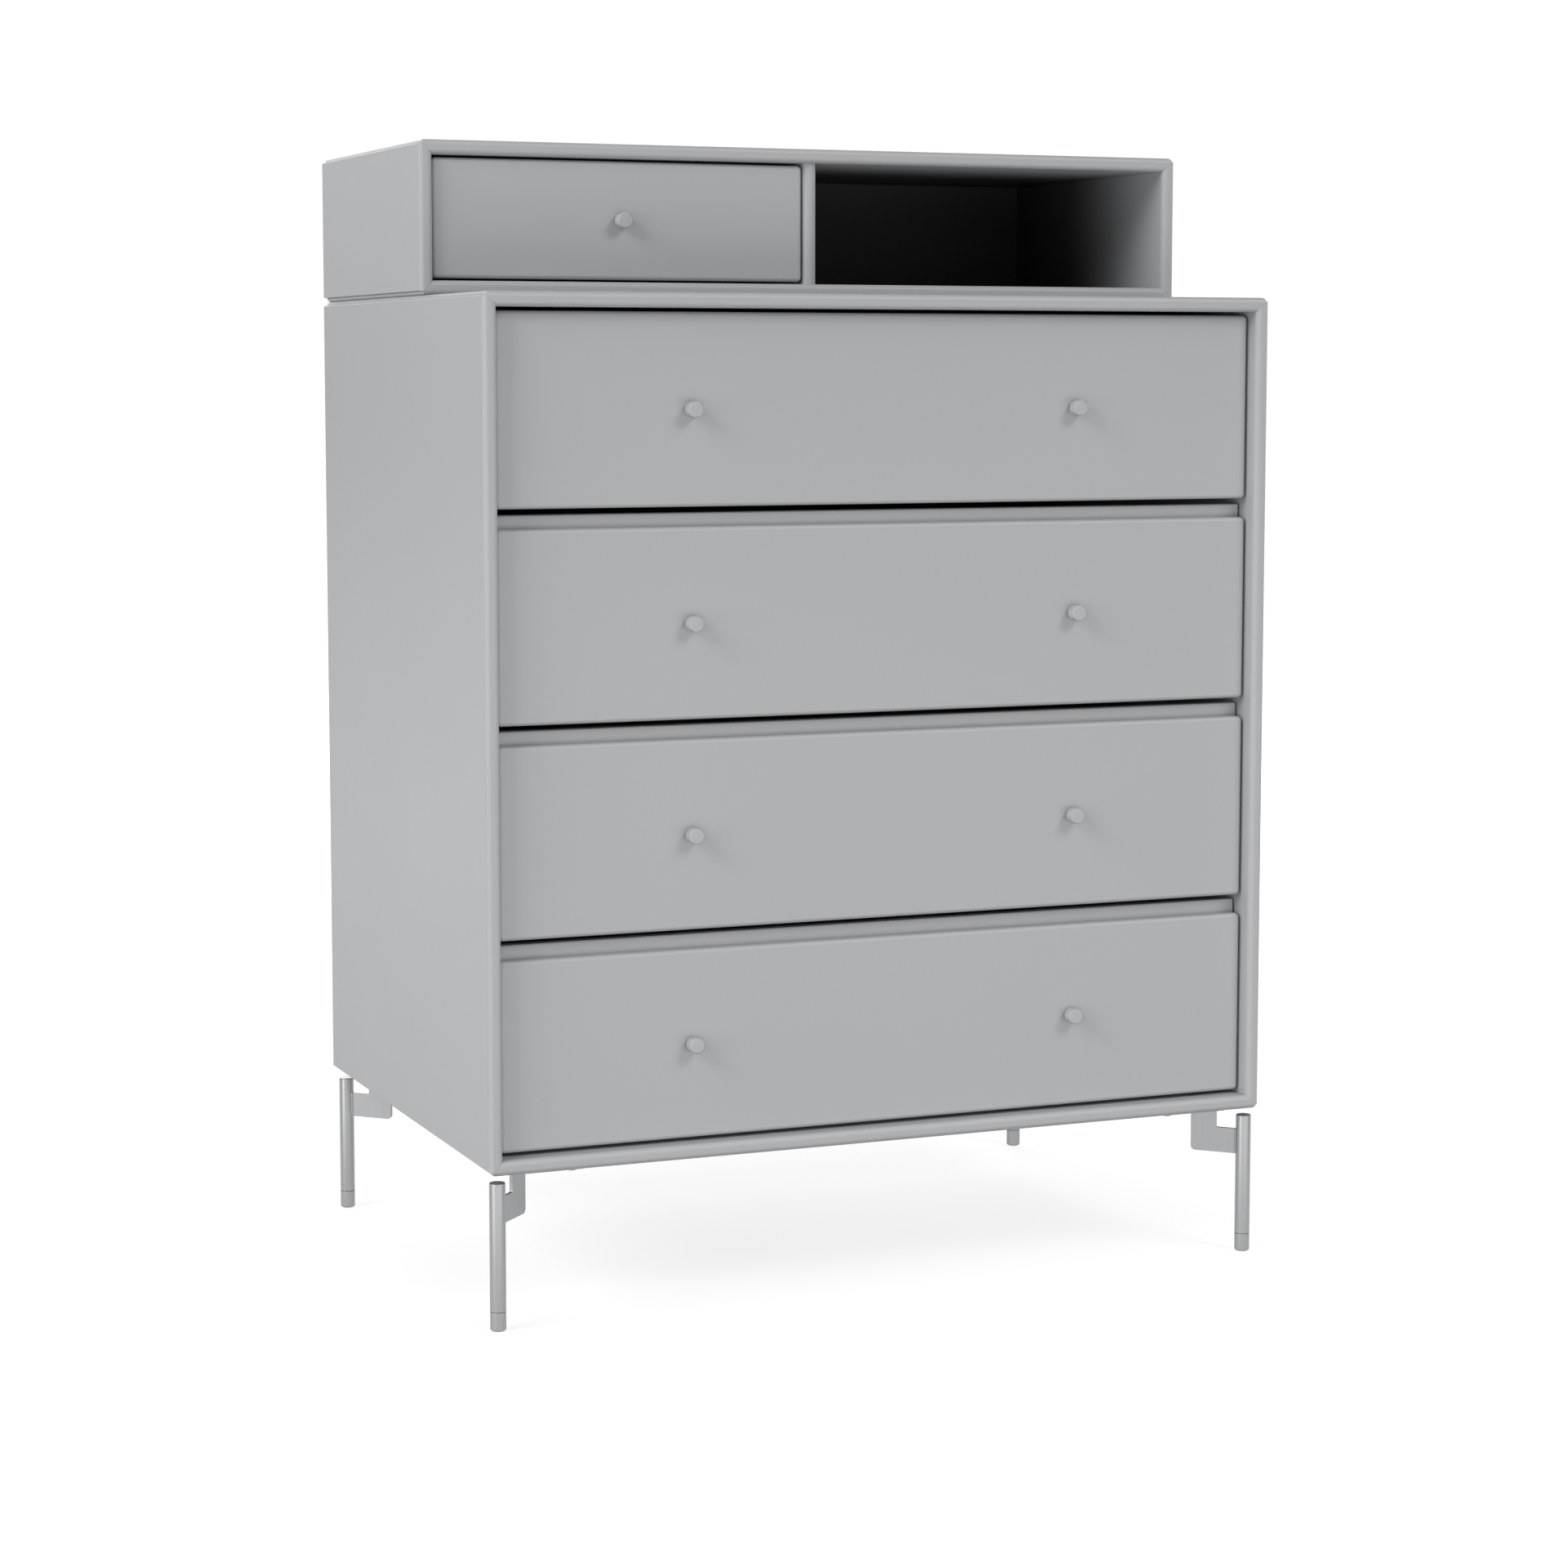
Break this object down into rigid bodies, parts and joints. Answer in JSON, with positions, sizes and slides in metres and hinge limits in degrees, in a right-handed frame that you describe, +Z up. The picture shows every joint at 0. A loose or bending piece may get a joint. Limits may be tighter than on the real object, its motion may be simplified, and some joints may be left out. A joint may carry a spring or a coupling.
{
  "type": "chest of drawers",
  "caption": "Low square chest with wide recessed drawers, a shallower top module with a small drawer and an open bay, and thin rod legs.",
  "frame": {"origin": "on the floor, below the middle of the lower carcass", "axes": "+X to the right seen from the front, -Y towards the front, +Z up"},
  "size_m": [0.696, 0.468, 0.9485],
  "materials": {
    "lacquered_panel": "smooth satin grey lacquer",
    "back_board": "grey lacquer",
    "drawer_box": "matt grey lacquer",
    "knob_lacquer": "satin grey lacquer",
    "leg_steel": "satin",
    "foot_steel": "satin",
    "runner_steel": "zinc plated",
    "dowel_beech": "plain"
  },
  "bodies": {
    "cabinet": {"back_left_leg": "leg_steel", "back_right_leg": "leg_steel", "front_left_leg": "leg_steel", "front_right_leg": "leg_steel", "lower_back": "back_board", "lower_bottom": "lacquered_panel", "lower_left_side": "lacquered_panel", "lower_right_side": "lacquered_panel", "lower_top": "lacquered_panel", "module_dowels": "dowel_beech", "runner_rails": "runner_steel", "upper_back": "back_board", "upper_bottom": "lacquered_panel", "upper_divider": "lacquered_panel", "upper_left_side": "lacquered_panel", "upper_right_side": "lacquered_panel", "upper_top": "lacquered_panel"},
    "drawer_1": {"drawer_1_back": "drawer_box", "drawer_1_bottom": "drawer_box", "drawer_1_box_front": "lacquered_panel", "drawer_1_front": "lacquered_panel", "drawer_1_knobs": "knob_lacquer", "drawer_1_runners": "runner_steel", "drawer_1_sides": "drawer_box"},
    "drawer_1_middle": {"drawer_1_middle_runners": "runner_steel"},
    "drawer_2": {"drawer_2_back": "drawer_box", "drawer_2_bottom": "drawer_box", "drawer_2_box_front": "lacquered_panel", "drawer_2_front": "lacquered_panel", "drawer_2_knobs": "knob_lacquer", "drawer_2_runners": "runner_steel", "drawer_2_sides": "drawer_box"},
    "drawer_2_middle": {"drawer_2_middle_runners": "runner_steel"},
    "drawer_3": {"drawer_3_back": "drawer_box", "drawer_3_bottom": "drawer_box", "drawer_3_box_front": "lacquered_panel", "drawer_3_front": "lacquered_panel", "drawer_3_knobs": "knob_lacquer", "drawer_3_runners": "runner_steel", "drawer_3_sides": "drawer_box"},
    "drawer_3_middle": {"drawer_3_middle_runners": "runner_steel"},
    "drawer_4": {"drawer_4_back": "drawer_box", "drawer_4_bottom": "drawer_box", "drawer_4_box_front": "lacquered_panel", "drawer_4_front": "lacquered_panel", "drawer_4_knobs": "knob_lacquer", "drawer_4_runners": "runner_steel", "drawer_4_sides": "drawer_box"},
    "drawer_4_middle": {"drawer_4_middle_runners": "runner_steel"},
    "small_drawer": {"small_drawer_back": "drawer_box", "small_drawer_bottom": "drawer_box", "small_drawer_front": "lacquered_panel", "small_drawer_knob": "knob_lacquer", "small_drawer_runners": "runner_steel", "small_drawer_sides": "drawer_box"},
    "front_left_foot": {"front_left_foot": "foot_steel"},
    "front_right_foot": {"front_right_foot": "foot_steel"},
    "back_left_foot": {"back_left_foot": "foot_steel"},
    "back_right_foot": {"back_right_foot": "foot_steel"}
  },
  "joints": [
    {"name": "drawer_1_slide", "type": "slide", "parent": "cabinet", "child": "drawer_1", "axis": [0, -1, 0], "range_m": [0, 0.4]},
    {"name": "drawer_1_middle_slide", "type": "slide", "parent": "cabinet", "child": "drawer_1_middle", "axis": [0, -1, 0], "range_m": [0, 0.2]},
    {"name": "drawer_2_slide", "type": "slide", "parent": "cabinet", "child": "drawer_2", "axis": [0, -1, 0], "range_m": [0, 0.4]},
    {"name": "drawer_2_middle_slide", "type": "slide", "parent": "cabinet", "child": "drawer_2_middle", "axis": [0, -1, 0], "range_m": [0, 0.2]},
    {"name": "drawer_3_slide", "type": "slide", "parent": "cabinet", "child": "drawer_3", "axis": [0, -1, 0], "range_m": [0, 0.4]},
    {"name": "drawer_3_middle_slide", "type": "slide", "parent": "cabinet", "child": "drawer_3_middle", "axis": [0, -1, 0], "range_m": [0, 0.2]},
    {"name": "drawer_4_slide", "type": "slide", "parent": "cabinet", "child": "drawer_4", "axis": [0, -1, 0], "range_m": [0, 0.4]},
    {"name": "drawer_4_middle_slide", "type": "slide", "parent": "cabinet", "child": "drawer_4_middle", "axis": [0, -1, 0], "range_m": [0, 0.2]},
    {"name": "small_drawer_slide", "type": "slide", "parent": "cabinet", "child": "small_drawer", "axis": [0, -1, 0], "range_m": [0, 0.18]},
    {"name": "front_left_foot_screw", "type": "slide", "parent": "cabinet", "child": "front_left_foot", "axis": [0, 0, -1], "range_m": [0, 0.01]},
    {"name": "front_right_foot_screw", "type": "slide", "parent": "cabinet", "child": "front_right_foot", "axis": [0, 0, -1], "range_m": [0, 0.01]},
    {"name": "back_left_foot_screw", "type": "slide", "parent": "cabinet", "child": "back_left_foot", "axis": [0, 0, -1], "range_m": [0, 0.01]},
    {"name": "back_right_foot_screw", "type": "slide", "parent": "cabinet", "child": "back_right_foot", "axis": [0, 0, -1], "range_m": [0, 0.01]}
  ],
  "couplings": [
    {"joint": "drawer_1_middle_slide", "follows": "drawer_1_slide", "ratio": 0.5},
    {"joint": "drawer_2_middle_slide", "follows": "drawer_2_slide", "ratio": 0.5},
    {"joint": "drawer_3_middle_slide", "follows": "drawer_3_slide", "ratio": 0.5},
    {"joint": "drawer_4_middle_slide", "follows": "drawer_4_slide", "ratio": 0.5}
  ]
}
